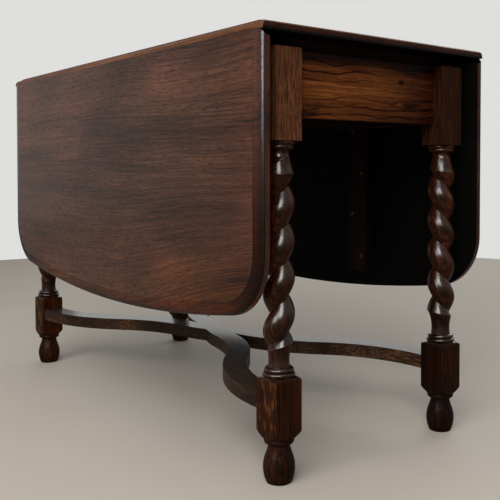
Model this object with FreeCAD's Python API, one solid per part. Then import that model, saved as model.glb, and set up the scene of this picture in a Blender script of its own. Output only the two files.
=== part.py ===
"""Oak drop-leaf dining table with twist-turned legs and a serpentine cross stretcher.

Millimetres, +Z up. The origin lies on the floor at the middle of the table, X runs along the
length, and the front leaf hangs on the -Y side.
"""
import FreeCAD, Part
import math
import os
from FreeCAD import Vector

# Driving dimensions: top and leaves
total_height = 756.0
top_length = 1104.0
hinge_line_spacing = 518.0
leaf_width = 498.0
leaf_bow_radius = 3040.0
leaf_corner_radius = 110.0
mould_width = 24.0
mould_depth = 7.5
mould_step = 0.8

# Driving dimensions: rule joint and its hinges
quirk_height = 3.0
ovolo_radius = 12.0
knuckle_radius = 2.5
rule_clearance = 0.4
hinge_width = 60.0
hinge_end_inset = 128.0
flap_thickness = 1.8
top_flap_length = 32.0
leaf_flap_length = 58.0
knuckle_count = 5
knuckle_clearance = 0.4
pin_radius = 1.25
pin_clearance = 0.05
pocket_clearance = 0.5

# Driving dimensions: frame
end_overhang = 19.0
leaf_gap = 25.5
leg_square = 54.0
bearer_thickness = 19.5
rail_height = 111.5
rail_thickness = 22.0
rail_setback = 25.0
tenon_thickness = 10.0
tenon_shoulder = 8.0
tenon_gap = 1.0
corner_block_side = 70.0
corner_block_height = 45.0

# Driving dimensions: turned legs, from the top down
upper_block_height = 152.0
collar_height = 14.0
collar_radius = 27.0
neck_height = 12.0
neck_radius = 18.8
twist_pitch = 60.8
twist_crest_radius = 27.0
twist_groove_radius = 15.3
twist_phase = 36.0
twist_top_runout = 34.0
twist_bottom_runout = 25.0
groove_runout = 46.0
runout_hollow = 2.0
lower_neck_height = 26.0
ring_height = 15.0
ring_radius = 26.6
shoulder_height = 6.0
lower_block_height = 85.0
lower_shoulder_height = 12.0
foot_bead_height = 10.0
foot_neck_height = 17.0
foot_neck_radius = 18.0
foot_bulb_height = 48.0
foot_waist_radius = 22.5
foot_bulb_radius = 27.0
foot_base_radius = 21.0
bead_bulge = 3.0
cove_depth = 1.2

# Driving dimensions: stretcher
stretcher_rise = 33.0
stretcher_thickness = 27.0
stretcher_width = 46.0
crossing_slope = 24.0
waist_slope = 10.0
stretcher_tenon_length = 16.0
stretcher_tenon_shoulder = 7.0

# Driving dimensions: lopers, bearers and battens
loper_inset = 129.0
loper_width = 37.0
loper_side_gap = 1.5
loper_clearance = 0.3
loper_end_inset = 2.0
loper_peg_radius = 6.0
loper_peg_drop = 20.0
loper_peg_inset = 32.0
finger_groove_radius = 6.0
finger_groove_inset = 16.0
bearer_width = 30.0
bearer_setback = 8.0
batten_inset = 323.0
batten_width = 58.0
batten_thickness = 19.0
batten_outer_inset = 42.0
batten_inner_inset = 100.0

# Driving dimensions: countersunk screws
hinge_screw_radius = 1.4
hinge_screw_head = 2.8
frame_screw_radius = 2.2
frame_screw_head = 4.4
screw_bite = 23.0
screw_share = 0.6

# Levels and lines that follow from the sizes above
board_thickness = quirk_height + ovolo_radius + knuckle_radius
underside = total_height - board_thickness
axis_y = hinge_line_spacing / 2
axis_z = underside + knuckle_radius
half_length = top_length / 2
frame_height = underside - bearer_thickness
half_leg = leg_square / 2
leg_x = half_length - end_overhang - half_leg
leg_y = axis_y - knuckle_radius - leaf_gap - half_leg
rail_x = leg_x + half_leg - rail_setback
rail_y = leg_y + half_leg - rail_setback
rail_inner_x = rail_x - rail_thickness
rail_inner_y = rail_y - rail_thickness
rail_core_x = rail_x - rail_thickness / 2
rail_core_y = rail_y - rail_thickness / 2
rail_bottom = frame_height - rail_height
inner_block_x = leg_x - half_leg
inner_block_y = leg_y - half_leg
foot_neck_top = foot_bulb_height + foot_neck_height
bead_top = foot_neck_top + foot_bead_height
block_low = bead_top + lower_shoulder_height
block_high = block_low + lower_block_height
rings_bottom = block_high + shoulder_height
rings_top = rings_bottom + ring_height
twist_bottom = rings_top + lower_neck_height
collar_top = frame_height - upper_block_height
collar_bottom = collar_top - collar_height
twist_top = collar_bottom - neck_height
stretcher_bottom = block_low + stretcher_rise
stretcher_top = stretcher_bottom + stretcher_thickness
loper_x = inner_block_x - loper_inset
batten_x = half_length - batten_inset
hinge_x = half_length - hinge_end_inset
hinge_places = {"left": -hinge_x, "middle": 0.0, "right": hinge_x}
ends = {"left": -1, "right": 1}
sides = {"front": -1, "back": 1}

ORIGIN = Vector(0, 0, 0)
X_AXIS = Vector(1, 0, 0)
Y_AXIS = Vector(0, 1, 0)
Z_AXIS = Vector(0, 0, 1)
ROOT_HALF = math.sqrt(0.5)
parts = {}


def block(x0, x1, y0, y1, z0, z1):
    """A box between two opposite corners."""
    return Part.makeBox(x1 - x0, y1 - y0, z1 - z0, Vector(x0, y0, z0))


def rod(radius, length, start, direction):
    return Part.makeCylinder(radius, length, start, direction)


def arc(start, middle, end):
    return Part.Arc(start, middle, end).toShape()


def line(start, end):
    return Part.LineSegment(start, end).toShape()


def mirrored(shape, x_sign, y_sign):
    """The same piece on another side of the table."""
    if x_sign < 0:
        shape = shape.mirror(ORIGIN, X_AXIS)
    if y_sign < 0:
        shape = shape.mirror(ORIGIN, Y_AXIS)
    return shape


def all_mirrored(shapes, x_sign, y_sign):
    return [mirrored(shape, x_sign, y_sign) for shape in shapes]


def cut_all(shape, tools):
    for tool in tools:
        shape = shape.cut(tool)
    return shape


def turned(points):
    """A turning from (radius, height) points listed downwards; a third value bulges that step as an arc."""
    outline = [(0.0, points[0][1])] + points + [(0.0, points[-1][1])]
    edges = []
    for first, second in zip(outline, outline[1:]):
        start = Vector(first[0], 0, first[1])
        end = Vector(second[0], 0, second[1])
        if len(second) == 3:
            outward = (end - start).normalize().cross(Y_AXIS)
            edges.append(arc(start, (start + end) * 0.5 + outward * second[2], end))
        else:
            edges.append(line(start, end))
    edges.append(line(Vector(0, 0, points[-1][1]), Vector(0, 0, points[0][1])))
    return Part.Face(Part.Wire(edges)).revolve(ORIGIN, Z_AXIS, 360)


def screw(radius, head_radius, length, head, direction):
    """A countersunk screw whose flat head lies at a point and whose shank runs along a direction."""
    sink = head_radius - radius
    tip = 1.5 * radius
    body = turned([(radius * 0.1, length), (radius, length - tip), (radius, sink), (head_radius, 0.0)])
    body.Placement = FreeCAD.Placement(head, FreeCAD.Rotation(Z_AXIS, direction))
    return body


# Moulded edges shared by the top and the leaves
def mould_waste(place):
    """Section of the waste above a stepped thumbnail; place turns an inward distance and a height into a point."""
    rim = total_height - mould_depth
    step = total_height - mould_step
    curve = Part.Ellipse(place(0.0, rim), place(mould_width, step), place(mould_width, rim))
    loop = [
        place(mould_width, step),
        place(mould_width, total_height + 1),
        place(-1.0, total_height + 1),
        place(-1.0, rim),
        place(0.0, rim),
    ]
    edges = [Part.ArcOfEllipse(curve, 0.0, math.pi / 2).toShape()]
    edges += [line(first, second) for first, second in zip(loop, loop[1:])]
    return Part.Wire(edges)


def make_top_board():
    """A board with an ovolo along each long edge and a thumbnail mould on each end."""
    ledge = math.sqrt(ovolo_radius ** 2 - knuckle_radius ** 2)
    slant = ROOT_HALF * ovolo_radius
    shape = []
    for side in (1, -1):
        shape.append([
            Vector(-half_length, side * axis_y, total_height),
            Vector(-half_length, side * axis_y, axis_z + ovolo_radius),
            Vector(-half_length, side * (axis_y + slant), axis_z + slant),
            Vector(-half_length, side * (axis_y + ledge), underside),
        ])
    back, front = shape
    edges = [
        line(back[0], back[1]),
        arc(back[1], back[2], back[3]),
        line(back[3], front[3]),
        arc(front[3], front[2], front[1]),
        line(front[1], front[0]),
        line(front[0], back[0]),
    ]
    board = Part.Face(Part.Wire(edges)).extrude(Vector(top_length, 0, 0))
    reach = axis_y + ovolo_radius + 1
    waste = Part.Face(mould_waste(lambda inward, height: Vector(half_length - inward, -reach, height)))
    waste = waste.extrude(Vector(0, 2 * reach, 0))
    return cut_all(board, [waste, mirrored(waste, -1, 1)])


# Leaf, drawn raised at the level of the top and then let down about its hinge line
def leaf_outline():
    """Straight ends, rounded corners and a slow bow along the outer edge."""
    bow_y = axis_y + leaf_width - leaf_bow_radius
    corner_x = half_length - leaf_corner_radius
    corner_y = bow_y + math.sqrt((leaf_bow_radius - leaf_corner_radius) ** 2 - corner_x ** 2)
    turn = math.atan2(corner_y - bow_y, corner_x)
    start = Vector(half_length, axis_y + rule_clearance, 0)
    side_end = Vector(half_length, corner_y, 0)
    corner_mid = Vector(corner_x, corner_y, 0)
    corner_mid += Vector(math.cos(turn / 2), math.sin(turn / 2), 0) * leaf_corner_radius
    bow_end = Vector(leaf_bow_radius * math.cos(turn), bow_y + leaf_bow_radius * math.sin(turn), 0)
    start2, side_end2, corner_mid2, bow_end2 = [
        Vector(-point.x, point.y, 0) for point in (start, side_end, corner_mid, bow_end)]
    return [
        line(start, side_end),
        arc(side_end, corner_mid, bow_end),
        arc(bow_end, Vector(0, axis_y + leaf_width, 0), bow_end2),
        arc(bow_end2, corner_mid2, side_end2),
        line(side_end2, start2),
    ]


def make_leaf():
    path = leaf_outline()
    start_y = axis_y + rule_clearance
    closing = line(Vector(-half_length, start_y, 0), Vector(half_length, start_y, 0))
    board = Part.Face(Part.Wire(path + [closing])).extrude(Vector(0, 0, board_thickness))
    board.translate(Vector(0, 0, underside))
    cove = rod(ovolo_radius + rule_clearance, top_length + 2, Vector(-half_length - 1, axis_y, axis_z), X_AXIS)
    waste = mould_waste(lambda inward, height: Vector(half_length - inward, start_y, height))
    spine = Part.Wire(path)
    spine.translate(Vector(0, 0, total_height))
    return cut_all(board, [cove, spine.makePipeShell([waste], True, False)])


def let_down(shape):
    """Turn a piece of the back leaf from raised to hanging."""
    hanging = shape.copy()
    hanging.rotate(Vector(0, axis_y, axis_z), X_AXIS, -90)
    return hanging


# Rule-joint hinge: a short flap under the top, a longer one under the leaf, and a pin
def make_flap(place, first_knuckle, away, length):
    """A flap beside the pin and its screws; every other knuckle from the first belongs to it."""
    step = hinge_width / knuckle_count
    low = place - hinge_width / 2
    edge = axis_y + away * length
    flap = block(low, low + hinge_width, min(axis_y, edge), max(axis_y, edge), underside, underside + flap_thickness)
    room = knuckle_radius + pocket_clearance
    for number in range(knuckle_count):
        start = low + number * step
        if number % 2 == first_knuckle:
            flap = flap.fuse(rod(knuckle_radius, step, Vector(start, axis_y, axis_z), X_AXIS))
        else:
            near = min(axis_y, axis_y + away * room) - knuckle_clearance
            flap = flap.cut(block(start - knuckle_clearance, start + step + knuckle_clearance,
                                  near, near + room + 2 * knuckle_clearance, underside - 1, axis_z + room))
    flap = flap.cut(rod(pin_radius + pin_clearance, hinge_width, Vector(low, axis_y, axis_z), X_AXIS))
    size = flap_thickness + board_thickness * screw_share
    screws = []
    for along, across in ((0.5, -0.3), (0.5, 0.3), (0.84, -0.3), (0.84, 0.3)):
        head = Vector(place + across * hinge_width, axis_y + away * along * length, underside)
        screws.append(screw(hinge_screw_radius, hinge_screw_head, size, head, Z_AXIS))
    return cut_all(flap, screws), screws


def hinge_pockets(place):
    """Waste under the top: the flap bed, the knuckle groove and room for the leaf flap's swing."""
    low = place - hinge_width / 2
    high = place + hinge_width / 2
    groove = knuckle_radius + pocket_clearance
    bed = block(low, high, axis_y - top_flap_length, axis_y, underside, underside + flap_thickness)
    low -= pocket_clearance
    high += pocket_clearance
    knuckle_room = block(low, high, axis_y - groove, axis_y + groove, underside - 1, axis_z + groove)
    swing_room = block(low, high, axis_y, axis_y + ovolo_radius + 1, underside - 1,
                       underside + flap_thickness + pocket_clearance)
    return [bed, knuckle_room, swing_room]


# Turned leg, drawn about its own axis with a right-handed lobe
def make_twist():
    """One lobe swept up the leg while it turns; crest and groove both run out to the necks."""
    length = twist_top - twist_bottom
    lobe_point_count = 24
    depth = twist_crest_radius - twist_groove_radius
    points = []
    for number in range(lobe_point_count + 1):
        turn = 2 * math.pi * number / lobe_point_count - math.pi
        radius = twist_groove_radius + depth * abs(math.cos(turn / 2))
        points.append(Vector(radius * math.cos(turn), radius * math.sin(turn), 0))
    curve = Part.BSplineCurve()
    curve.interpolate(points)
    section = Part.Wire([curve.toShape()])
    section.rotate(ORIGIN, Z_AXIS, twist_phase)
    spine = Part.Wire([line(ORIGIN, Vector(0, 0, length))])
    sweep = Part.BRepOffsetAPI.MakePipeShell(spine)
    sweep.setAuxiliarySpine(Part.Wire(Part.makeHelix(twist_pitch, length, twist_crest_radius)), True, 0)
    sweep.add(section)
    sweep.build()
    sweep.makeSolid()
    rope = sweep.shape()
    rope.translate(Vector(0, 0, twist_bottom))
    room = twist_crest_radius + bead_bulge
    limit = turned([
        (neck_radius, twist_top),
        (room, twist_top - twist_top_runout, -runout_hollow),
        (room, twist_bottom + twist_bottom_runout),
        (neck_radius, twist_bottom, -runout_hollow),
    ])
    inside = twist_groove_radius - runout_hollow
    fillers = [
        turned([(neck_radius, twist_top), (inside, twist_top - groove_runout)]),
        turned([(inside, twist_bottom + groove_runout), (neck_radius, twist_bottom)]),
    ]
    return rope.common(limit).fuse(fillers)


def make_leg():
    upper = block(-half_leg, half_leg, -half_leg, half_leg, collar_top, frame_height)
    collar = turned([
        (collar_radius - bead_bulge, collar_top),
        (collar_radius - bead_bulge, collar_top - collar_height / 2, bead_bulge),
        (neck_radius + cove_depth, collar_bottom, bead_bulge),
        (neck_radius - cove_depth, collar_bottom),
        (neck_radius, twist_top, -cove_depth),
    ])
    rings = turned([
        (neck_radius, twist_bottom),
        (neck_radius, rings_top, -cove_depth),
        (ring_radius - 2 * bead_bulge, rings_top),
        (ring_radius - bead_bulge, rings_top - ring_height / 2, bead_bulge),
        (ring_radius - cove_depth, rings_bottom, bead_bulge),
    ])
    corner_radius = leg_square * ROOT_HALF + 1
    shoulders = turned([
        (ring_radius, rings_bottom),
        (corner_radius, block_high),
        (corner_radius, block_low),
        (foot_bulb_radius, bead_top),
    ])
    lower = block(-half_leg, half_leg, -half_leg, half_leg, bead_top, rings_bottom).common(shoulders)
    bulb_bulge = foot_bulb_radius - (foot_waist_radius + foot_base_radius) / 2
    bulb_lean = math.atan2(foot_waist_radius - foot_base_radius, foot_bulb_height)
    bulb_angle = 2 * math.atan2(2 * bulb_bulge, foot_bulb_height) - bulb_lean
    flare = foot_waist_radius - foot_neck_radius
    flare_angle = math.atan2(flare, foot_neck_height)
    flare_hollow = math.hypot(flare, foot_neck_height) / 2 * math.tan((bulb_angle - flare_angle) / 2)
    foot = turned([
        (foot_bulb_radius - bead_bulge, bead_top),
        (foot_neck_radius + bead_bulge, foot_neck_top, bead_bulge),
        (foot_neck_radius, foot_neck_top),
        (foot_waist_radius, foot_bulb_height, -flare_hollow),
        (foot_base_radius, 0.0, bulb_bulge),
    ])
    return upper.fuse([collar, make_twist(), rings, lower, foot])


# Serpentine stretcher: three equal arcs from the crossing to each leg, the last ending square to it
def serpentine_stations():
    """Places and headings of one half board, two for each arc after the first."""
    cross = math.radians(crossing_slope)
    waist = math.radians(waist_slope)
    sines = math.sin(cross) - 2 * math.sin(waist)
    cosines = 2 * math.cos(waist) + 1 - math.cos(cross)
    reach = math.hypot(inner_block_x, leg_y)
    lean = math.acos((cosines * inner_block_x - sines * leg_y) / (2 * reach))
    steep = math.atan2(leg_y, inner_block_x) + lean
    radius = inner_block_x / (2 * math.sin(steep) + sines)
    stations = [(0.0, 0.0, cross)]
    for first, second in ((cross, waist), (waist, steep), (steep, 0.0)):
        x, y, _ = stations[-1]
        bend = radius if second > first else -radius
        for heading in ((first + second) / 2, second):
            stations.append((x + bend * (math.sin(heading) - math.sin(first)),
                             y + bend * (math.cos(first) - math.cos(heading)), heading))
    return stations


def stretcher_edge(offset):
    """Points along one edge of the half board, from the crossing to the leg."""
    points = []
    for x, y, heading in serpentine_stations():
        points.append(Vector(x - offset * math.sin(heading), y + offset * math.cos(heading), stretcher_bottom))
    return points


def make_stretcher():
    """The board from the front left leg to the back right leg, before the crossing is halved."""
    half = stretcher_width / 2
    edges = []
    for turn in (1, -1):
        corners = []
        for offset in (half, -half):
            points = [Vector(turn * point.x, turn * point.y, point.z) for point in stretcher_edge(offset)]
            edges += [arc(*points[number:number + 3]) for number in range(0, len(points) - 2, 2)]
            corners.append(points[-1])
        edges.append(line(corners[0], corners[1]))
    loop = Part.Wire(Part.__sortEdges__(edges))
    return Part.Face(loop).extrude(Vector(0, 0, stretcher_thickness))


def stretcher_tenon():
    """Stub tenon in the back right leg."""
    half = stretcher_width / 2 - stretcher_tenon_shoulder
    return block(inner_block_x, inner_block_x + stretcher_tenon_length, leg_y - half, leg_y + half,
                 stretcher_bottom + stretcher_tenon_shoulder, stretcher_top - stretcher_tenon_shoulder)


# Rails, whose stub tenons stop short of each other inside the leg
def end_rail_tenon():
    stop = rail_core_y - tenon_thickness / 2 - tenon_gap
    return block(rail_core_x - tenon_thickness / 2, rail_core_x + tenon_thickness / 2, inner_block_y, stop,
                 rail_bottom + tenon_shoulder, frame_height - tenon_shoulder)


def side_rail_tenon():
    stop = rail_core_x - tenon_thickness / 2 - tenon_gap
    return block(inner_block_x, stop, rail_core_y - tenon_thickness / 2, rail_core_y + tenon_thickness / 2,
                 rail_bottom + tenon_shoulder, frame_height - tenon_shoulder)


def make_end_rail():
    board = block(rail_inner_x, rail_x, -inner_block_y, inner_block_y, rail_bottom, frame_height)
    tenon = end_rail_tenon()
    return board.fuse([tenon, mirrored(tenon, 1, -1)]).removeSplitter()


def make_side_rail():
    board = block(-inner_block_x, inner_block_x, rail_inner_y, rail_y, rail_bottom, frame_height)
    tenon = side_rail_tenon()
    return board.fuse([tenon, mirrored(tenon, -1, 1)]).removeSplitter()


# Three-cornered glue block inside the back right corner, screwed to both rails
def block_screw_places():
    """Head, direction and clear depth of the wood in front of each rail."""
    along = corner_block_side * screw_share
    depth = corner_block_side - along - frame_screw_head
    middle = frame_height - corner_block_height / 2
    spread = corner_block_height / 5
    return [
        (Vector(rail_inner_x - depth, rail_inner_y - along, middle + spread), X_AXIS, depth),
        (Vector(rail_inner_x - along, rail_inner_y - depth, middle - spread), Y_AXIS, depth),
    ]


def block_screws():
    bite = rail_thickness * screw_share
    return [screw(frame_screw_radius, frame_screw_head, depth + bite, head, direction)
            for head, direction, depth in block_screw_places()]


def make_corner_block():
    low = frame_height - corner_block_height
    corners = [
        Vector(rail_inner_x, rail_inner_y, low),
        Vector(rail_inner_x - corner_block_side, rail_inner_y, low),
        Vector(rail_inner_x, rail_inner_y - corner_block_side, low),
    ]
    edges = [line(corners[number], corners[number - 2]) for number in range(3)]
    prism = Part.Face(Part.Wire(edges)).extrude(Vector(0, 0, corner_block_height))
    leg = block(inner_block_x, rail_x, inner_block_y, rail_y, low, frame_height)
    wells = [rod(frame_screw_head, corner_block_side, head - direction * corner_block_side, direction)
             for head, direction, depth in block_screw_places()]
    return cut_all(prism, [leg] + wells + block_screws())


# Bearers that carry the top clear of the frame, and the lopers that slide between them
def bearer_lines():
    """Inner edge of each bearer along X."""
    guide = loper_width + loper_side_gap * 1.5
    return {
        "middle": -bearer_width / 2,
        "inner_guide_right": loper_x - guide - bearer_width,
        "outer_guide_right": loper_x + guide,
        "end_right": rail_x - bearer_setback - bearer_width,
        "inner_guide_left": guide - loper_x,
        "outer_guide_left": -loper_x - guide - bearer_width,
        "end_left": bearer_setback - rail_x,
    }


def bearer_screw_spots(name, edge):
    """Where a bearer is screwed down to the frame."""
    if name.startswith("end"):
        seat = (rail_inner_x + rail_x - bearer_setback) / 2
        return [(math.copysign(seat, edge), side * inner_block_y * screw_share) for side in (1, -1)]
    return [(edge + bearer_width / 2, side * rail_core_y) for side in (1, -1)]


def top_screw_spots(name, edge):
    """Where the top is screwed up from below, clear of the rails."""
    middle = edge + bearer_width / 2
    if name.startswith("end"):
        middle = math.copysign((rail_x - bearer_setback - bearer_width + rail_inner_x) / 2, edge)
    return [(middle, side * rail_inner_y / 2) for side in (1, -1)]


def loper_line(x_sign, y_sign):
    """Middle of a loper along X; front and back lopers lie side by side."""
    return x_sign * loper_x + y_sign * (loper_width + loper_side_gap) / 2


def make_loper(middle):
    """A loper for the back leaf and its stop peg."""
    half = loper_width / 2
    tip = leg_y + half_leg - loper_end_inset
    low = frame_height + loper_clearance
    high = underside - loper_clearance
    bar = block(middle - half, middle + half, -rail_y, tip, low, high)
    groove = rod(finger_groove_radius, loper_width, Vector(middle - half, tip - finger_groove_inset, low), X_AXIS)
    peg_foot = Vector(middle, loper_peg_inset - rail_y, frame_height - loper_peg_drop)
    peg = rod(loper_peg_radius, loper_peg_drop + bearer_thickness / 2, peg_foot, Z_AXIS)
    return cut_all(bar, [groove, peg]), peg


# Leaf battens, drawn under the raised back leaf
def make_batten(x_sign):
    middle = x_sign * batten_x
    half = batten_width / 2
    start = axis_y + batten_inner_inset
    end = axis_y + leaf_width - batten_outer_inset
    bar = block(middle - half, middle + half, start, end, underside - batten_thickness, underside)
    size = batten_thickness + board_thickness * screw_share
    screws = []
    for share, across in ((0.1, -0.25), (0.37, 0.25), (0.63, -0.25), (0.9, 0.25)):
        head = Vector(middle + across * batten_width, start + share * (end - start), underside - batten_thickness)
        screws.append(screw(frame_screw_radius, frame_screw_head, size, head, Z_AXIS))
    return cut_all(bar, screws), screws


# Top, leaves, hinges and battens
top_board = make_top_board()
back_leaf = make_leaf()
top_hinge_screws = []
leaf_hinge_screws = []
hinge_pins = []
for place_name, place in hinge_places.items():
    top_flap, top_screws = make_flap(place, 0, -1, top_flap_length)
    leaf_flap, leaf_screws = make_flap(place, 1, 1, leaf_flap_length)
    pin = rod(pin_radius, hinge_width, Vector(place - hinge_width / 2, axis_y, axis_z), X_AXIS)
    bed = block(place - hinge_width / 2, place + hinge_width / 2, axis_y, axis_y + leaf_flap_length,
                underside, underside + flap_thickness)
    back_leaf = cut_all(back_leaf, [bed] + leaf_screws)
    leaf_hinge_screws += leaf_screws
    for side_name, side in sides.items():
        waste = all_mirrored(hinge_pockets(place) + top_screws, 1, side)
        top_board = cut_all(top_board, waste)
        top_hinge_screws += all_mirrored(top_screws, 1, side)
        hinge_pins.append(mirrored(pin, 1, side))
        parts[f"hinge_top_flap_{side_name}_{place_name}"] = mirrored(top_flap, 1, side)
        parts[f"hinge_leaf_flap_{side_name}_{place_name}"] = mirrored(let_down(leaf_flap), 1, side)
batten_screws = []
for end_name, end in ends.items():
    batten, screws = make_batten(end)
    back_leaf = cut_all(back_leaf, screws)
    batten_screws += screws
    for side_name, side in sides.items():
        parts[f"leaf_batten_{side_name}_{end_name}"] = mirrored(let_down(batten), 1, side)
for side_name, side in sides.items():
    parts[f"leaf_{side_name}"] = mirrored(let_down(back_leaf), 1, side)
    hung = [mirrored(let_down(piece), 1, side) for piece in leaf_hinge_screws]
    parts[f"hinge_screws_leaf_{side_name}"] = Part.makeCompound(hung)
    hung = [mirrored(let_down(piece), 1, side) for piece in batten_screws]
    parts[f"batten_screws_{side_name}"] = Part.makeCompound(hung)
parts["hinge_screws_top"] = Part.makeCompound(top_hinge_screws)
parts["hinge_pins"] = Part.makeCompound(hinge_pins)

# Legs, rails and corner blocks
leg = make_leg().mirror(ORIGIN, Y_AXIS)
leg.translate(Vector(leg_x, leg_y, 0))
leg = cut_all(leg, [end_rail_tenon(), side_rail_tenon(), stretcher_tenon()])
corner_block = make_corner_block()
corner_screws = []
end_rail = cut_all(make_end_rail(), all_mirrored(block_screws(), 1, 1) + all_mirrored(block_screws(), 1, -1))
side_rail = cut_all(make_side_rail(), all_mirrored(block_screws(), 1, 1) + all_mirrored(block_screws(), -1, 1))
for end_name, end in ends.items():
    for side_name, side in sides.items():
        parts[f"leg_{side_name}_{end_name}"] = mirrored(leg, end, side)
        parts[f"corner_block_{side_name}_{end_name}"] = mirrored(corner_block, end, side)
        corner_screws += all_mirrored(block_screws(), end, side)
parts["corner_block_screws"] = Part.makeCompound(corner_screws)

# Bearers and their screws
down_screws = []
up_screws = []
for name, edge in bearer_lines().items():
    bearer = block(edge, edge + bearer_width, -rail_y, rail_y, frame_height, underside)
    size = bearer_thickness + screw_bite
    down = [screw(frame_screw_radius, frame_screw_head, size, Vector(x, y, underside), -Z_AXIS)
            for x, y in bearer_screw_spots(name, edge)]
    size = bearer_thickness + board_thickness * screw_share
    up = [screw(frame_screw_radius, frame_screw_head, size, Vector(x, y, frame_height), Z_AXIS)
          for x, y in top_screw_spots(name, edge)]
    parts[f"bearer_{name}"] = cut_all(bearer, down + up)
    down_screws += down
    up_screws += up
top_board = cut_all(top_board, up_screws)
parts["top_board"] = top_board
parts["bearer_screws"] = Part.makeCompound(down_screws)
parts["top_screws"] = Part.makeCompound(up_screws)
for end_name, end in ends.items():
    parts[f"end_rail_{end_name}"] = cut_all(mirrored(end_rail, end, 1), down_screws)
for side_name, side in sides.items():
    parts[f"side_rail_{side_name}"] = cut_all(mirrored(side_rail, 1, side), down_screws)

# Lopers, which are alike after a half turn of the table
for end_name, end in ends.items():
    loper, peg = make_loper(loper_line(end, 1))
    parts[f"loper_back_{end_name}"] = loper
    parts[f"loper_peg_back_{end_name}"] = peg
    opposite = "left" if end_name == "right" else "right"
    parts[f"loper_front_{opposite}"] = mirrored(loper, -1, -1)
    parts[f"loper_peg_front_{opposite}"] = mirrored(peg, -1, -1)

# Stretcher boards, halved over each other and held by a screw from below
rising = make_stretcher()
falling = mirrored(rising, 1, -1)
crossing = rising.common(falling)
box = crossing.BoundBox
level = stretcher_bottom + stretcher_thickness / 2
low_half = crossing.common(block(box.XMin - 1, box.XMax + 1, box.YMin - 1, box.YMax + 1, stretcher_bottom, level))
high_half = crossing.common(block(box.XMin - 1, box.XMax + 1, box.YMin - 1, box.YMax + 1, level, stretcher_top))
tenon = stretcher_tenon()
rising = rising.fuse([tenon, mirrored(tenon, -1, -1)]).cut(high_half)
falling = falling.fuse([mirrored(tenon, 1, -1), mirrored(tenon, -1, 1)]).cut(low_half)
stretcher_screw = screw(frame_screw_radius, frame_screw_head, stretcher_thickness * 0.8,
                        Vector(0, 0, stretcher_bottom), Z_AXIS)
parts["stretcher_lower"] = rising.cut(stretcher_screw).removeSplitter()
parts["stretcher_upper"] = falling.cut(stretcher_screw).removeSplitter()
parts["stretcher_screw"] = stretcher_screw

# One file for each named piece
os.makedirs("parts", exist_ok=True)
for name, shape in sorted(parts.items()):
    valid = "sound" if shape.isValid() else "FAULTY"
    print(f"{name}: {len(shape.Solids)} solids, {shape.Volume / 1000:.1f} cm3, {valid}")
    shape.exportStep(f"parts/{name}.step")
print(len(parts), "pieces")
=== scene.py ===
# %% [markdown]
# # Dressing a drop-leaf dining table
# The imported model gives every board, leg and hinge in its true place, so this lesson adds what a
# solid model lacks: oak that looks stained, waxed and used, iron and steel that look old, screws with
# slots, and a plain studio. Everything is in metres, with the floor at zero height.

# %% Load the frame
import math

import bpy
from mathutils import Matrix, Vector


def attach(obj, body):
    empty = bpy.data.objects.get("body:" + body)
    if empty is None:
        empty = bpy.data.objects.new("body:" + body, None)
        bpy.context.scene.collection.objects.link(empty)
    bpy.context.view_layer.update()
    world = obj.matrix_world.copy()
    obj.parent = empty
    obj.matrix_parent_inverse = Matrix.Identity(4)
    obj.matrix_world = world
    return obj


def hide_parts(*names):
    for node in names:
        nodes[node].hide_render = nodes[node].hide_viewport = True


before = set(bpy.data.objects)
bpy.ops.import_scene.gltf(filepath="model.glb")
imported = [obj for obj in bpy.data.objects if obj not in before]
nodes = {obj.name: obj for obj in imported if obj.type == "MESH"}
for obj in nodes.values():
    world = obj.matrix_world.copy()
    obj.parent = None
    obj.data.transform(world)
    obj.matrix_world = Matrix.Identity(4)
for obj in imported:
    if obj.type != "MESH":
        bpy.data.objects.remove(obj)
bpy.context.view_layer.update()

# %% [markdown]
# ## Camera
# The camera stands low, beside one end of the table, so that one leaf and one end show. Its lens is
# shifted a little, as if the picture had been cropped: turning the camera instead would make the legs lean.

# %% Camera
camera_data = bpy.data.cameras.new("camera")
camera_data.sensor_width = 36.0
camera_data.lens = 55.01
camera_data.shift_x = -0.08
camera_data.shift_y = -0.12
camera = bpy.data.objects.new("camera", camera_data)
camera.location = (1.5020, -0.9776, 0.5239)
camera.rotation_euler = (math.radians(88.28), 0.0, math.radians(51.33))
bpy.context.collection.objects.link(camera)
bpy.context.scene.camera = camera
print("camera at", tuple(round(value, 3) for value in camera.location))

# %% [markdown]
# ## Shader sums
# A material is a net of nodes. Written out one by one, a sum of three values takes a dozen lines, so a
# small class wraps a socket and lets Python's own operators add the Math nodes. Every other node comes
# from one method that sets the node's options first and then its sockets.

# %% Shader helpers
class Flow:
    """A shader socket that can be used in sums."""

    def __init__(self, finish, socket):
        self.finish = finish
        self.socket = socket

    def math(self, operation, first, second=0.0):
        return self.finish.node("ShaderNodeMath", {"operation": operation}, {0: first, 1: second})

    def __add__(self, other):
        return self.math("ADD", self, other)

    def __radd__(self, other):
        return self.math("ADD", other, self)

    def __sub__(self, other):
        return self.math("SUBTRACT", self, other)

    def __rsub__(self, other):
        return self.math("SUBTRACT", other, self)

    def __mul__(self, other):
        return self.math("MULTIPLY", self, other)

    def __rmul__(self, other):
        return self.math("MULTIPLY", other, self)

    def floor(self):
        return self.math("FLOOR", self)

    def between(self, low, high):
        """Zero below the low value, one above the high one and a smooth step between them."""
        return self.finish.node("ShaderNodeMapRange", {"interpolation_type": "SMOOTHSTEP"},
                                {"Value": self, "From Min": low, "From Max": high})


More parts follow.
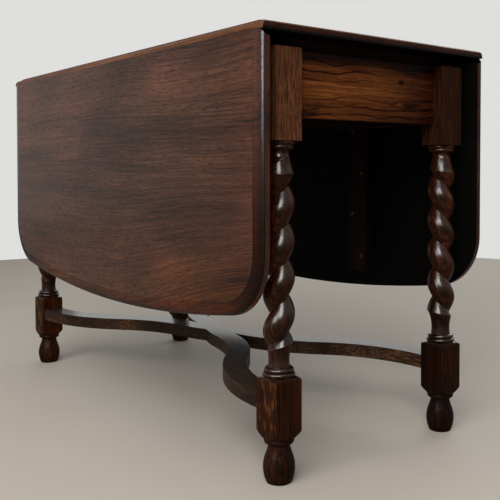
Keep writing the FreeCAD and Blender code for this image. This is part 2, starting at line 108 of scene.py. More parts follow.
class Finish:
    """A new material with a shader of its own and one way to add nodes."""

    def __init__(self, name):
        self.material = bpy.data.materials.new(name)
        self.material.use_nodes = True
        self.tree = self.material.node_tree
        self.shader = self.tree.nodes["Principled BSDF"]

    def node(self, kind, settings=None, sockets=None, output=0):
        """Add a node, set its options, then its sockets, and return one of its outputs."""
        made = self.tree.nodes.new(kind)
        for key, value in (settings or {}).items():
            if key == "stops":
                self.fill_ramp(made.color_ramp.elements, value)
            else:
                setattr(made, key, value)
        self.feed(made, sockets or {})
        return Flow(self, made.outputs[output])

    def fill_ramp(self, elements, stops):
        while len(elements) > 1:
            elements.remove(elements[-1])
        elements[0].position, elements[0].color = stops[0]
        for place, colour in stops[1:]:
            elements.new(place).color = colour

    def feed(self, target, sockets):
        for key, value in sockets.items():
            if isinstance(value, Flow):
                self.tree.links.new(value.socket, target.inputs[key])
            else:
                target.inputs[key].default_value = value

    def shade(self, **sockets):
        """Feed the shader; an underscore in a name stands for a space."""
        self.feed(self.shader, {key.replace("_", " "): value for key, value in sockets.items()})

    def noise(self, place, scale=1.0, detail=3.0, roughness=0.5):
        return self.node("ShaderNodeTexNoise", {},
                         {"Vector": place, "Scale": scale, "Detail": detail, "Roughness": roughness})

    def mix(self, factor, first, second):
        """The first colour where the factor is zero, the second where it is one."""
        return self.node("ShaderNodeMix", {"data_type": "RGBA"}, {0: factor, 6: first, 7: second}, 2)

    def tint(self, factor, first, second):
        """The first colour, multiplied by the second as far as the factor says, as a stain does."""
        return self.node("ShaderNodeMix", {"data_type": "RGBA", "blend_type": "MULTIPLY"},
                         {0: factor, 6: first, 7: second}, 2)

    def vector(self, x, y, z):
        return self.node("ShaderNodeCombineXYZ", {}, {"X": x, "Y": y, "Z": z})


def stain(red, green, blue):
    """A colour as a paint chart gives it, in the shader's linear terms; as a tint, over 255 lightens."""
    return tuple((value / 255) ** 2.2 for value in (red, green, blue)) + (1.0,)


print("shader helpers ready")

# %% [markdown]
# ## Oak
# Stained oak shows several things at different sizes: glued boards of differing tone, warm and grey
# patches, long growth lines, short dark pores along the grain, and a worn paler line on every edge. Each
# is a noise stretched along the grain, and a thin coat of old polish lies over it. One class makes all
# the oak, because the boards differ only in which way the grain runs and how deep the stain is. Sizes of
# noise are given as features in a metre, first along the grain and then across it.

# %% Oak finish
EDGE_RADIUS = 0.0014
RUBBED_BLOTCH = 38.0
PORE_STAIN = (58, 40, 32)
PORE_SIZE = (45.0, 700.0)
PATCH_SIZE = (1.7, 3.6)
SWAY_SIZE = (2.2, 14.0)
LINE_SHARE = 0.62
BOARD_SHIFT = 7.0
BOARD_CONTRAST = 0.07
FIRST_TONE = 0.26
TONE_STEP = 0.16
RUBBED_PALENESS = 1.45
DULL_BLOTCH = 6.0


class Oak(Finish):
    """Oak whose grain runs along one axis and whose boards lie side by side along another."""

    def __init__(self, name, grain, across, seed):
        super().__init__(name)
        self.place = self.node("ShaderNodeTexCoord", {}, {}, "Object")
        self.axes = self.split(self.place)
        third = next(axis for axis in "XYZ" if axis not in (grain, across))
        self.along = self.axes[grain] + seed
        self.width = self.axes[across]
        self.depth = self.axes[third]

    def split(self, vector):
        parts = self.node("ShaderNodeSeparateXYZ", {}, {0: vector}).socket.node
        return {axis: Flow(self, parts.outputs[axis]) for axis in "XYZ"}

    def facing(self):
        return self.split(self.node("ShaderNodeTexCoord", {}, {}, "Normal"))

    def size(self, value):
        return self.node("ShaderNodeMath", {"operation": "ABSOLUTE"}, {0: value})

    def sine(self, value):
        return self.node("ShaderNodeMath", {"operation": "SINE"}, {0: value})

    def streaks(self, along, across, detail=3.0, roughness=0.5):
        """Noise drawn out along the grain; the numbers are features in a metre."""
        where = self.vector(self.along * along, self.width * across, self.depth * across)
        return self.noise(where, 1.0, detail, roughness)

    def edges(self):
        """A softened normal, and a mask of the edges that hands and cloths have rubbed."""
        soft = self.node("ShaderNodeBevel", {"samples": 4}, {"Radius": EDGE_RADIUS})
        flat = self.node("ShaderNodeNewGeometry", {}, {}, "Normal")
        match = self.node("ShaderNodeVectorMath", {"operation": "DOT_PRODUCT"}, {0: soft, 1: flat}, "Value")
        patchy = self.noise(self.place, RUBBED_BLOTCH).between(0.35, 0.75)
        rubbed = (1.0 - match).between(0.01, 0.25) * patchy
        return soft, rubbed

    def board(self, tones, plank=None, patches=0.2, wander=0.05, pores=0.5, shine=0.34, polish=0.15,
              polish_rough=0.16, wear=0.4, contrast=1.0, drift=None, fineness=(4.0, 150.0), gleam=0.3):
        """Draw the wood and return its colour, which coat then puts on.

        shine is the roughness of the wood, polish and polish_rough the weight and roughness of the coat,
        gleam the level of reflection, and drift a bend of the grain across the board.
        """
        board_tone = None
        if plank:
            number = (self.width * (1 / plank)).floor()
            board_tone = self.node("ShaderNodeTexWhiteNoise", {"noise_dimensions": "1D"}, {"W": number})
            self.along = self.along + board_tone * BOARD_SHIFT
        patch = self.streaks(*PATCH_SIZE, 2.0)
        self.width = self.width + (patch - 0.5) * wander
        if drift:
            self.width = self.width + drift
        sway = self.streaks(*SWAY_SIZE)
        lines = self.streaks(*fineness, 5.0, 0.7)
        ticks = self.streaks(*PORE_SIZE, 2.0).between(0.50, 0.70)
        grain = lines * LINE_SHARE + sway * (1.0 - LINE_SHARE)
        tone = 0.5 + (grain - 0.5) * contrast + (patch - 0.5) * patches
        if plank:
            tone = tone + (board_tone - 0.5) * BOARD_CONTRAST
        stops = [(FIRST_TONE + TONE_STEP * step, stain(*colour)) for step, colour in enumerate(tones)]
        colour = self.node("ShaderNodeValToRGB", {"stops": stops}, {"Fac": tone})
        colour = self.tint(ticks * pores, colour, stain(*PORE_STAIN))
        soft, rubbed = self.edges()
        pale = stain(*[min(255, value * RUBBED_PALENESS) for value in tones[-1]])
        dull = self.noise(self.place, DULL_BLOTCH)
        self.rough = shine + lines * 0.16 + ticks * 0.14 + dull * 0.12 - 0.14
        relief = lines * 0.5 - ticks * 0.9
        bump = self.node("ShaderNodeBump", {}, {"Strength": 0.2, "Distance": 0.0005, "Height": relief,
                                                "Normal": soft})
        self.shade(Roughness=self.rough, Normal=bump, Coat_Weight=polish, Coat_Roughness=polish_rough,
                   Specular_IOR_Level=gleam)
        return self.mix(rubbed * wear, colour, pale)

    def coat(self, colour):
        self.shade(Base_Color=colour)
        return self.material


leaf_tones = [(38, 21, 15), (75, 45, 34), (95, 59, 45), (116, 75, 57)]
leg_tones = [(13, 7, 4), (32, 17, 10), (55, 29, 16), (102, 55, 29)]
stretcher_tones = [(17, 11, 8), (36, 24, 17), (57, 40, 28), (108, 76, 50)]
# Painted shade: these very dark tones stand for the parts hidden under the top and behind the leaves.
shaded_tones = [(14, 8, 6), (24, 15, 10), (36, 23, 16), (54, 37, 27)]
print("oak finish ready")

# %% [markdown]
# ## Leaves
# The outside of a leaf is polished, with warm and grey patches where it has faded; its inside is painted
# near-black as painted shade. The same board carries both, so the colour depends on which face a point lies
# on. A patch at the lower right of the leaf is warmer and lighter, and the grain rises there. The mould
# along the edge has lost its polish, except at the ends, and painted shade darkens it as it rolls away from
# the face and low on the ends.

# %% Leaf oak
LEAF_INNER = 0.2580
LEAF_FACE = 0.2740
GRAIN_RISE = -0.17
LEAF_COAT = 0.26
# Near-black painted shade for the inside faces of the leaves, and for the underside and lowest end strip of
# the top.
painted_shade_black = stain(32, 29, 27)
end_stain = stain(232, 224, 220)
grey_stain = stain(206, 214, 204)
# The lower right of the leaf is darker and warmer, with a lighter patch inside it.
lower_right_tint = stain(158, 122, 82)
lower_right_lift = stain(312, 290, 190)


def end_grain(wood):
    """One on the ends of a board whose grain runs along X."""
    return wood.size(wood.facing()["X"]).between(0.7, 0.95)


leaf_wood = Oak("leaf oak", "X", "Z", 0.37)
leaf_x = leaf_wood.axes["X"]
leaf_z = leaf_wood.axes["Z"]
rising = leaf_x.between(0.0, 0.75) * (1.0 - leaf_z.between(0.26, 0.60))
leaf_colour = leaf_wood.board(leaf_tones, plank=0.128, contrast=1.7, fineness=(6.0, 330.0), pores=0.8,
                              gleam=0.08, drift=rising * GRAIN_RISE)
warmth = leaf_wood.noise(leaf_wood.place, 3.1, 2.0).between(0.42, 0.66)
leaf_colour = leaf_wood.tint(1.0 - warmth, leaf_colour, grey_stain)
# Darker and warmer towards the lower right; a patch there is lighter again and keeps less coat.
low_right = (leaf_x * 0.9 - leaf_z * 1.6).between(-0.42, 0.10)
lower_right_patch = leaf_x.between(0.05, 0.42) * (1.0 - leaf_z.between(0.26, 0.40))
leaf_colour = leaf_wood.tint(low_right * (1.0 - lower_right_patch * 0.72), leaf_colour, lower_right_tint)
leaf_colour = leaf_wood.tint(lower_right_patch, leaf_colour, lower_right_lift)
leaf_colour = leaf_wood.tint(end_grain(leaf_wood), leaf_colour, end_stain)
print("leaf face made with", len(leaf_wood.tree.nodes), "nodes")

# %% Leaf mould and inner face
mould_stain = stain(246, 226, 206)
# Painted shade on the mould: darker low on the ends, and darker as it rolls away from the face.
end_mould_shade = stain(146, 124, 104)
rolled_shade = stain(176, 150, 132)
rolled_end_shade = stain(160, 148, 142)

outward = leaf_wood.size(leaf_wood.axes["Y"])
leaf_outside = outward.between(LEAF_INNER - 0.0008, LEAF_INNER)
sunk = 1.0 - outward.between(LEAF_FACE - 0.0007, LEAF_FACE - 0.0003)
rolled = 1.0 - outward.between(LEAF_FACE - 0.0050, LEAF_FACE - 0.0006)
slanted = leaf_outside * leaf_wood.size(leaf_wood.facing()["Y"]).between(0.05, 0.2)
mould = sunk * slanted
at_end = leaf_wood.size(leaf_x).between(0.36, 0.50)
end_gloss = mould * at_end * leaf_z.between(0.36, 0.66)
# Painted shade: the end mould darkens towards the bottom of the leaf.
end_shade = mould * at_end * (1.0 - leaf_z.between(0.38, 0.70))
leaf_colour = leaf_wood.tint(mould, leaf_colour, mould_stain)
leaf_colour = leaf_wood.tint(end_shade, leaf_colour, end_mould_shade)
# Painted shade: the mould darkens as it rolls away from the face, most at the ends.
leaf_colour = leaf_wood.tint(rolled * slanted, leaf_colour, rolled_shade)
leaf_colour = leaf_wood.tint(rolled * slanted * at_end, leaf_colour, rolled_end_shade)
leaf_coat = LEAF_COAT - mould * 0.2 - lower_right_patch * (1.0 - mould) * 0.12 + end_gloss * 0.9
leaf_wood.shade(Coat_Weight=leaf_coat * leaf_outside, Coat_IOR=1.6, Coat_Roughness=0.2,
                Roughness=leaf_wood.rough + (1.0 - leaf_outside) * 0.4)
# Painted shade: the inside faces of the leaf get the near-black.
leaf_oak = leaf_wood.coat(leaf_wood.tint(1.0 - leaf_outside, leaf_colour, painted_shade_black))
print("leaf oak made with", len(leaf_wood.tree.nodes), "nodes")

# %% [markdown]
# ## Top
# The top is a little lighter than the leaves. Its ends are darker, because end grain drinks more stain. The
# lowest strip of each end and the underside are painted near-black as painted shade, like the inside of the
# leaves.

# %% Top oak
TOP_UNDER = 0.7395
TOP_EDGE = 0.7440
top_tones = [(56, 31, 18), (90, 56, 36), (116, 76, 50), (146, 100, 70)]
top_end_stain = stain(140, 126, 132)

top_wood = Oak("top oak", "X", "Y", 3.1)
top_colour = top_wood.board(top_tones, plank=0.131, polish=0.1, gleam=0.1)
top_level = top_wood.axes["Z"]
# Painted shade: the lowest strip of each end is darkened to near-black.
shaded_end_strip = end_grain(top_wood) * (1.0 - top_level.between(TOP_EDGE - 0.003, TOP_EDGE))
top_colour = top_wood.tint(end_grain(top_wood), top_colour, top_end_stain)
top_colour = top_wood.tint(shaded_end_strip, top_colour, painted_shade_black)
# Painted shade: the underside of the top is painted near-black.
top_under = 1.0 - top_level.between(TOP_UNDER - 0.0008, TOP_UNDER)
top_oak = top_wood.coat(top_wood.tint(top_under, top_colour, painted_shade_black))
print("top oak made with", len(top_wood.tree.nodes), "nodes")

# %% [markdown]
# ## Legs
# Turned wood was polished on the lathe, so it is smoother and darker than the boards, and its highlights
# are broad and bright where it faces up. Growth layers cut by the twist show as close dark lines: a sine
# across the leg draws them. The square blocks kept more of the wood's own colour: the upper ones show
# wavy upright grain, and the lower ones show ray flecks, short bright bands that come where oak is cut
# through its middle.

# %% Leg growth layers
BLOCK_LEVEL = 0.567
LOWER_BLOCK = (0.080, 0.175)
LAYER_PITCH = 950.0
layer_stain = stain(140, 110, 96)

leg_wood = Oak("leg oak", "Z", "X", 1.7)
leg_colour = leg_wood.board(leg_tones, patches=0.5, shine=0.38, contrast=1.2, fineness=(9.0, 320.0),
                            gleam=0.06)
leg_x = leg_wood.axes["X"]
leg_y = leg_wood.axes["Y"]
height = leg_wood.axes["Z"]
in_block = height.between(BLOCK_LEVEL - 0.001, BLOCK_LEVEL)
above_foot = height.between(LOWER_BLOCK[0], LOWER_BLOCK[0] + 0.004)
in_lower = above_foot * (1.0 - height.between(LOWER_BLOCK[1] - 0.004, LOWER_BLOCK[1]))
layer = leg_x * 0.8 - leg_y * 0.55 + (leg_wood.streaks(7.0, 18.0) - 0.5) * 0.012
growth = leg_wood.sine(layer * LAYER_PITCH).between(-0.2, 1.0)
leg_colour = leg_wood.tint(growth * (0.75 - in_lower * 0.4), leg_colour, layer_stain)
print("leg layers made with", len(leg_wood.tree.nodes), "nodes")

# %% Leg blocks and polish
OUTER_FACE = 0.2305
RING_PITCH = 760.0
FLECK_SIZE = (90.0, 90.0, 36.0)
block_tones = [stain(66, 41, 27), stain(126, 82, 58)]
block_ring_stain = stain(128, 100, 84)
# Painted shade for the upper blocks of the back legs.
back_shade = stain(132, 122, 114)
lower_stain = stain(228, 222, 182)
lower_end_stain = stain(326, 340, 290)
fleck_stain = stain(128, 78, 40)

upright = leg_wood.streaks(22.0, 680.0, 3.0, 0.6).between(0.36, 0.64)
block_colour = leg_wood.mix(upright, *block_tones)
ring_place = leg_x + leg_y + (leg_wood.streaks(16.0, 24.0) - 0.5) * 0.022
block_ring = leg_wood.sine(ring_place * RING_PITCH).between(0.2, 1.0)
block_colour = leg_wood.tint(block_ring * 0.35, block_colour, block_ring_stain)
# Painted shade: the upper blocks of the legs at the back are painted darker.
shaded_back_side = leg_y.between(-0.05, 0.10)
block_colour = leg_wood.tint(shaded_back_side, block_colour, back_shade)
leg_colour = leg_wood.mix(in_block * 0.85, leg_colour, block_colour)
leg_colour = leg_wood.tint(in_lower, leg_colour, lower_stain)
end_face = leg_wood.size(leg_wood.facing()["X"]).between(0.6, 0.9)
leg_colour = leg_wood.tint(in_lower * end_face, leg_colour, lower_end_stain)
spot = leg_wood.vector(*[leg_wood.axes[axis] * size for axis, size in zip("XYZ", FLECK_SIZE)])
flecks = leg_wood.noise(spot, 1.0, 2.0).between(0.50, 0.64)
outer_face = leg_wood.size(leg_y).between(OUTER_FACE - 0.0015, OUTER_FACE)
leg_colour = leg_wood.mix(flecks * in_lower * outer_face * 0.3, leg_colour, fleck_stain)
upturned = leg_wood.facing()["Z"].between(-0.15, 0.5)
turned_part = (1.0 - in_block) * (1.0 - in_lower) * (0.08 + above_foot * 0.92)
leg_wood.shade(Coat_Weight=turned_part * (0.05 + upturned * 0.95), Coat_Roughness=0.22, Coat_IOR=1.65,
               Roughness=leg_wood.rough + (1.0 - above_foot) * 0.25 + in_lower * 0.15)
leg_oak = leg_wood.coat(leg_colour)
print("leg oak made with", len(leg_wood.tree.nodes), "nodes")

# %% [markdown]
# ## Stretchers
# The stretchers are where feet rest. Their sides are dull, but their tops have been rubbed smooth and
# carry a thin pale film that is partly dust and partly painted sheen, so the coat and the film both follow
# how far a face looks up.

# %% Stretcher oak
# Pale grey for the tops: partly dust, partly painted sheen.
dust_and_sheen = stain(116, 108, 100)

stretcher_wood = Oak("stretcher oak", "X", "Y", 5.3)
stretcher_colour = stretcher_wood.board(stretcher_tones, shine=0.55, polish_rough=0.12, contrast=1.5,
                                        fineness=(9.0, 260.0), gleam=0.1)
top_facing = stretcher_wood.facing()["Z"].between(0.4, 0.9)
stretcher_wood.shade(Coat_Weight=0.05 + top_facing * 0.8)
# Dust and painted sheen: a little pale grey on the faces that look up.
stretcher_oak = stretcher_wood.coat(stretcher_wood.mix(top_facing * 0.06, stretcher_colour, dust_and_sheen))
print("stretcher oak made with", len(stretcher_wood.tree.nodes), "nodes")

# %% [markdown]
# ## Rails and bearers
# The end rail is a plain-sawn board: its growth rings run out in bold, dark, wandering lines with a small
# knot. A sine of the height gives evenly spaced lines, a slow noise bends them, and a second noise breaks
# them up, because a ring is never equally dark all along. Painted shade darkens it near the back leg and
# under the top. The bearers and battens behind it were never polished, and their dark tones are painted
# shade.

# %% Rail oak
KNOT = (0.085, 0.682)
KNOT_STRETCH = 0.55
RAIL_RING_PITCH = 420.0
rail_tones = [(48, 24, 12), (82, 45, 23), (110, 64, 34), (144, 88, 48)]
rail_ring_stain = stain(126, 88, 66)
crack_stain = stain(120, 84, 62)
knot_stain = stain(90, 56, 44)
# Painted shade from the far leaf and from the overhang of the top.
back_end_shade = stain(146, 124, 108)
overhang_shadow = stain(120, 104, 94)


def bold_oak(name, grain, seed, tones, knot=None):
    """Plain-sawn oak for a rail; a rail with a knot also gets painted shade, darker to the back and to the
    top.
    """
    rail = Oak(name, grain, "Z", seed)
    colour = rail.board(tones, patches=0.6, wander=0.03, pores=0.6, shine=0.42, polish=0.02, contrast=1.5,
                        gleam=0.08)
    bend = rail.streaks(6.0, 13.0, 4.0) - 0.5
    level = rail.axes["Z"] + bend * 0.05
    if knot:
        out = rail.vector((rail.axes["Y"] - knot[0]) * KNOT_STRETCH, rail.axes["Z"] - knot[1], 0.0)
        gap = rail.node("ShaderNodeVectorMath", {"operation": "LENGTH"}, {0: out}, "Value")
        near_knot = 1.0 - gap.between(0.004, 0.030)
        level = level + near_knot * 0.012
    ring = rail.sine(level * RAIL_RING_PITCH).between(0.55, 1.0)
    broken = rail.streaks(6.0, 26.0).between(0.34, 0.60)
    colour = rail.tint(ring * broken, colour, rail_ring_stain)
    cracks = rail.streaks(9.0, 40.0, 5.0, 0.6).between(0.60, 0.68)
    colour = rail.tint(cracks, colour, crack_stain)
    if knot:
        colour = rail.tint(1.0 - gap.between(0.002, 0.008), colour, knot_stain)
        # Painted shade: darker towards the back leg and just under the top.
        colour = rail.tint(rail.axes["Y"].between(0.0, 0.17), colour, back_end_shade)
        colour = rail.tint(rail.axes["Z"].between(0.690, 0.712), colour, overhang_shadow)
    return rail.coat(colour)


end_rail_oak = bold_oak("end rail oak", "Y", 2.2, rail_tones, KNOT)
side_rail_oak = bold_oak("side rail oak", "X", 8.4, shaded_tones)
print("rail oak made")

# %% Bearer and batten oak
# Bearers, battens and hidden blocks get the dark tones of painted shade.
def dark_oak(name, grain, across, seed):
    wood = Oak(name, grain, across, seed)
    return wood.coat(wood.board(shaded_tones, shine=0.6, polish=0.0, wear=0.2, gleam=0.06))


bearer_oak = dark_oak("bearer oak", "Y", "X", 4.6)
batten_oak = dark_oak("batten oak", "Z", "X", 6.9)
print("bearer and batten oak made")

# %% [markdown]
# ## Iron and steel
# The hinges were forged and have turned dark; the screws are plain steel dulled by age. Both are a
# metal whose roughness and colour wander, with brown rust in the low spots.

# %% Metal finishes
RUST_BLOTCH = 160.0


def old_metal(name, bright, rust, rust_share):
    """Dulled metal; the share says how readily it rusts."""
    metal = Finish(name)
    place = metal.node("ShaderNodeTexCoord", {}, {}, "Object")
    blotch = metal.noise(place, RUST_BLOTCH, 5.0, 0.65)
    rusty = blotch.between(0.62 - rust_share * 0.4, 0.72)
    colour = metal.mix(rusty, stain(*bright), stain(*rust))
    pitted = metal.node("ShaderNodeBump", {}, {"Strength": 0.3, "Distance": 0.0003, "Height": blotch})
    metal.shade(Base_Color=colour, Roughness=0.38 + rusty * 0.35, Metallic=1.0 - rusty * 0.8, Normal=pitted)
    return metal.material


hinge_iron = old_metal("hinge iron", (74, 70, 66), (66, 40, 26), 0.6)
screw_steel = old_metal("screw steel", (82, 78, 72), (58, 38, 26), 0.5)
print("metal finishes made")

# %% [markdown]
# ## Giving each piece its finish
# A piece of the frame keeps its mesh and only gets a new material in its slots, so the names decide:
# boards of the top, turned legs, stretchers, rails, raw wood that nobody sees, and hardware. The first
# start of a name that fits is taken, and the last row takes all that is left.

# %% Assign the finishes
FINISHES = [
    ("top_board", top_oak),
    ("leaf_batten", batten_oak),
    ("leaf_", leaf_oak),
    ("leg_", leg_oak),
    ("stretcher_screw", screw_steel),
    ("stretcher_", stretcher_oak),
    ("end_rail", end_rail_oak),
    ("side_rail", side_rail_oak),
    ("corner_block_screws", screw_steel),
    ("corner_block", batten_oak),
    ("bearer_screws", screw_steel),
    ("bearer_", bearer_oak),
    ("loper_peg", batten_oak),
    ("loper_", bearer_oak),
    ("hinge_screws", screw_steel),
    ("hinge_", hinge_iron),
    ("", screw_steel),
]
for name, piece in nodes.items():
    material = next(finish for start, finish in FINISHES if name.startswith(start))
    if not piece.material_slots:
        piece.data.materials.append(material)
    for slot in piece.material_slots:
        slot.material = material
print("finishes given to", len(nodes), "pieces")

# %% [markdown]
# ## Slotted screws
# The screws of that time had one slot across the head. One screw is modelled from a cylinder, and
# copied to each place where the frame has a plain one. The places are read from the frame's own screws:
# each loose island of the mesh has a wide end, the head, and a narrow one, the tip.

# %% Read the places of the screws
SAME_LEVEL = 1e-5


def islands(piece):
    """Vertex positions of each loose part of a mesh."""
    parent = list(range(len(piece.data.vertices)))

    def root(number):
        while parent[number] != number:
            parent[number] = parent[parent[number]]
            number = parent[number]
        return number

    seen = {}
    for vertex in piece.data.vertices:
        key = tuple(round(value, 6) for value in vertex.co)
        parent[vertex.index] = seen.setdefault(key, vertex.index)
    for edge in piece.data.edges:
        parent[root(edge.vertices[0])] = root(edge.vertices[1])
    groups = {}
    for vertex in piece.data.vertices:
        groups.setdefault(root(vertex.index), []).append(vertex.co.copy())
    return list(groups.values())


def screw_axis(points):
    """Middle of the head, direction of the shank, length and head radius of one screw."""
    lows = [min(point[side] for point in points) for side in range(3)]
    highs = [max(point[side] for point in points) for side in range(3)]
    spans = [high - low for low, high in zip(lows, highs)]
    axis = spans.index(max(spans))
    middle = Vector([(low + high) / 2 for low, high in zip(lows, highs)])

    def ring(level):
        """Centre of the screw at one level, and the radius of its points there."""
        centre = middle.copy()
        centre[axis] = level
        edge = [point for point in points if abs(point[axis] - level) < SAME_LEVEL]
        return centre, max((point - centre).length for point in edge)

    low_end, low_radius = ring(lows[axis])
    high_end, high_radius = ring(highs[axis])
    if low_radius > high_radius:
        return low_end, (high_end - low_end).normalized(), spans[axis], low_radius
    return high_end, (low_end - high_end).normalized(), spans[axis], high_radius


print("batten screws in front:", len(islands(nodes["batten_screws_front"])))

# %% [markdown]
# The screw is shaped ring by ring: a plane cuts a new ring of vertices into the cylinder, and the ring is
# drawn in, first under the head and then where the tip begins. Two more cuts along the head mark the slot,
# and its faces are pushed in and shortened to stay inside the cone of the head. Sizes are shares of the
# head's radius, since the frame's screws differ in size but not in shape.

# %% Model one screw
HEAD_DEPTH = 0.5
TIP_LENGTH = 0.75
SHANK_SHARE = 0.5
TIP_SHARE = 0.06
SLOT_HALF_WIDTH = 0.16
SLOT_DEPTH = 0.3
SLOT_SHARE = 0.68
SAME_PLACE = 1e-6


def deselect_all():
    if bpy.context.object and bpy.context.object.mode != "OBJECT":
        bpy.ops.object.mode_set(mode="OBJECT")
    bpy.ops.object.select_all(action="DESELECT")


def cut(place, normal):
    bpy.ops.mesh.select_all(action="SELECT")
    bpy.ops.mesh.bisect(plane_co=place, plane_no=normal)
    bpy.ops.mesh.select_all(action="DESELECT")


def draw_in(screw, level, scale):
    """Scale the ring of vertices at one height of the screw."""
    bpy.ops.mesh.select_all(action="DESELECT")
    bpy.ops.object.mode_set(mode="OBJECT")
    for vertex in screw.data.vertices:
        vertex.select = abs(vertex.co.z - level) < SAME_PLACE
    bpy.ops.object.mode_set(mode="EDIT")
    bpy.ops.transform.resize(value=(scale, scale, 1))


def slotted_screw(length, head_radius):
    """A countersunk screw along +Z from its head at zero height, cut with one slot."""
    deselect_all()
    bpy.ops.mesh.primitive_cylinder_add(vertices=16, radius=head_radius, depth=length,
                                        location=(0, 0, length / 2))
    bpy.ops.object.transform_apply(location=True, rotation=False, scale=False)
    screw = bpy.context.object
    bpy.ops.object.mode_set(mode="EDIT")
    for level in (head_radius * HEAD_DEPTH, length - head_radius * TIP_LENGTH):
        cut((0, 0, level), (0, 0, 1))
        draw_in(screw, level, SHANK_SHARE)
    draw_in(screw, length, TIP_SHARE)
    for side in (-1, 1):
        cut((0, side * head_radius * SLOT_HALF_WIDTH, 0), (0, 1, 0))
    bpy.ops.mesh.select_mode(type="FACE")
    bpy.ops.object.mode_set(mode="OBJECT")
    for face in screw.data.polygons:
        in_slot = abs(face.center.y) < head_radius * SLOT_HALF_WIDTH / 2
        face.select = in_slot and face.normal.z < -0.9 and face.center.z < SAME_PLACE
    bpy.ops.object.mode_set(mode="EDIT")
    bpy.ops.mesh.extrude_region_move(TRANSFORM_OT_translate={"value": (0, 0, head_radius * SLOT_DEPTH)})
    bpy.ops.transform.resize(value=(SLOT_SHARE, 1, 1))
    bpy.ops.mesh.select_mode(type="VERT")
    bpy.ops.object.mode_set(mode="OBJECT")
    return screw


print("screw tools ready")

# %% [markdown]
# Every screw of a node gets its own copy of the model, turned to the frame's screw and spun by a different
# angle, because nobody lines up the slots. The copies are joined to one piece that stands for the node.

# %% Put the screws in place
SLOT_TURN = 2.4
SCREWED_BODIES = [
    ("batten_screws_front", "leaf_front"),
    ("batten_screws_back", "leaf_back"),
    ("hinge_screws_leaf_front", "leaf_front"),
    ("hinge_screws_leaf_back", "leaf_back"),
    ("hinge_screws_top", "frame"),
    ("corner_block_screws", "frame"),
    ("stretcher_screw", "frame"),
]


def slotted_screws(node, body):
    """One piece with a slotted screw in each place of a frame node."""
    copies = []
    master = None
    for number, points in enumerate(islands(nodes[node])):
        head, direction, length, radius = screw_axis(points)
        if master is None:
            master = slotted_screw(length, radius)
        copy = master.copy()
        copy.data = master.data.copy()
        bpy.context.collection.objects.link(copy)
        turn = direction.to_track_quat("Z", "Y").to_matrix().to_4x4()
        spin = Matrix.Rotation(number * SLOT_TURN, 4, "Z")
        copy.data.transform(Matrix.Translation(head) @ turn @ spin)
        copies.append(copy)
    bpy.data.objects.remove(master)
    deselect_all()
    for copy in copies:
        copy.select_set(True)
    bpy.context.view_layer.objects.active = copies[0]
    if len(copies) > 1:
        bpy.ops.object.join()
    piece = bpy.context.object
    piece.name = node + "_slotted"
    piece.data.materials.clear()
    piece.data.materials.append(screw_steel)
    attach(piece, body)
    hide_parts(node)
    print(piece.name, len(copies), "screws", len(piece.data.polygons), "faces")


for node, body in SCREWED_BODIES:
    slotted_screws(node, body)

# %% [markdown]
# ## Studio
# A plain pale floor ends where a wall would begin, so that its rim makes the line between the two.

# %% Floor
FLOOR_RADIUS = 2.9
floor_tones = [stain(195, 186, 175), stain(205, 196, 185)]

deselect_all()
bpy.ops.mesh.primitive_circle_add(vertices=96, radius=FLOOR_RADIUS, fill_type="NGON", location=(0, 0, 0))
floor = bpy.context.object
floor.name = "floor"
floor_finish = Finish("floor paint")
floor_place = floor_finish.node("ShaderNodeTexCoord", {}, {}, "Object")
mottle = floor_finish.noise(floor_place, 3.0, 4.0)
floor_finish.shade(Base_Color=floor_finish.mix(mottle, *floor_tones), Roughness=0.55 + mottle * 0.1)
floor.data.materials.append(floor_finish.material)
print("floor", FLOOR_RADIUS, "m in radius")

# %% [markdown]
# The world is a pale wall to the camera and only a weak glow to the table, so the lamps decide how light
# the wood is. Glass would show the wall in full. Polish shows a share of it, because a real room is not
# white all round, and dark wood that mirrors a white room looks grey.

# %% World
GLOW_STRENGTH = 0.035
WALL_SHARES = [("Is Glossy Ray", 0.35), ("Is Transmission Ray", 1.0)]
wall_colour = stain(222, 222, 220)
glow_colour = stain(232, 236, 240)

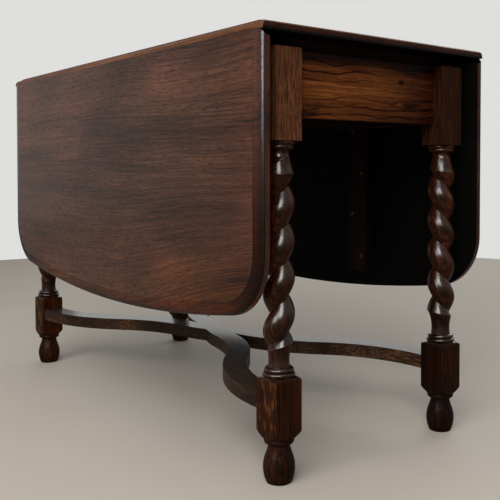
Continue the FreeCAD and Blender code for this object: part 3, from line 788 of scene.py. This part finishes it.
world = bpy.data.worlds.new("studio")
world.use_nodes = True
bpy.context.scene.world = world
links = world.node_tree.links
paths = world.node_tree.nodes.new("ShaderNodeLightPath")
backdrop = world.node_tree.nodes.new("ShaderNodeBackground")
backdrop.inputs["Color"].default_value = wall_colour
glow = world.node_tree.nodes["Background"]
glow.inputs["Color"].default_value = glow_colour
glow.inputs["Strength"].default_value = GLOW_STRENGTH
either = world.node_tree.nodes.new("ShaderNodeMixShader")
seen = paths.outputs["Is Camera Ray"]
for kind, share in WALL_SHARES:
    joined = world.node_tree.nodes.new("ShaderNodeMath")
    joined.operation = "MULTIPLY_ADD"
    links.new(paths.outputs[kind], joined.inputs[0])
    joined.inputs[1].default_value = share
    links.new(seen, joined.inputs[2])
    seen = joined.outputs[0]
links.new(seen, either.inputs[0])
links.new(glow.outputs[0], either.inputs[1])
links.new(backdrop.outputs[0], either.inputs[2])
links.new(either.outputs[0], world.node_tree.nodes["World Output"].inputs["Surface"])
print("world ready")

# %% [markdown]
# Two large soft lamps, like windows, do most of the work: one at the right lights the end of the table,
# and one in front lights the leaf. A wide lamp above fills the shadows. Weak ones at the left and at the
# back draw the rims of the twist and keep the other sides readable. Camera rays don't see any of them.

# %% Lamps
LAMPS = [
    ("right window", (2.6, -2.25, 2.6), (0.4, -0.05, 0.5), (1.9, 1.7), 78.0, (1.0, 0.98, 0.95)),
    ("front window", (1.0, -3.4, 1.75), (0.3, -0.2, 0.7), (1.9, 1.9), 64.0, (1.0, 0.99, 0.97)),
    ("left wall", (-4.2, -1.9, 1.2), (0.0, -0.2, 0.5), (2.5, 2.2), 5.0, (1.0, 0.98, 0.96)),
    ("back window", (-0.6, 3.6, 2.4), (0.0, 0.3, 0.5), (2.0, 2.0), 24.0, (1.0, 0.99, 0.97)),
    ("back wall", (-2.8, 2.6, 1.5), (0.0, 0.0, 0.2), (3.6, 2.2), 14.0, (1.0, 0.99, 0.97)),
    ("ceiling", (0.3, -0.6, 4.2), (0.0, 0.0, 0.0), (4.0, 4.0), 60.0, (1.0, 0.99, 0.97)),
]


def soft_lamp(name, place, aim, size, power, colour):
    lamp = bpy.data.lights.new(name, "AREA")
    lamp.shape = "RECTANGLE"
    lamp.size, lamp.size_y = size
    lamp.energy = power
    lamp.color = colour
    holder = bpy.data.objects.new(name, lamp)
    holder.location = place
    holder.visible_camera = False
    holder.rotation_euler = (Vector(aim) - Vector(place)).to_track_quat("-Z", "Y").to_euler()
    bpy.context.collection.objects.link(holder)
    print(name, "lamp", power, "W")


for row in LAMPS:
    soft_lamp(*row)
bpy.context.scene.view_settings.view_transform = "Standard"
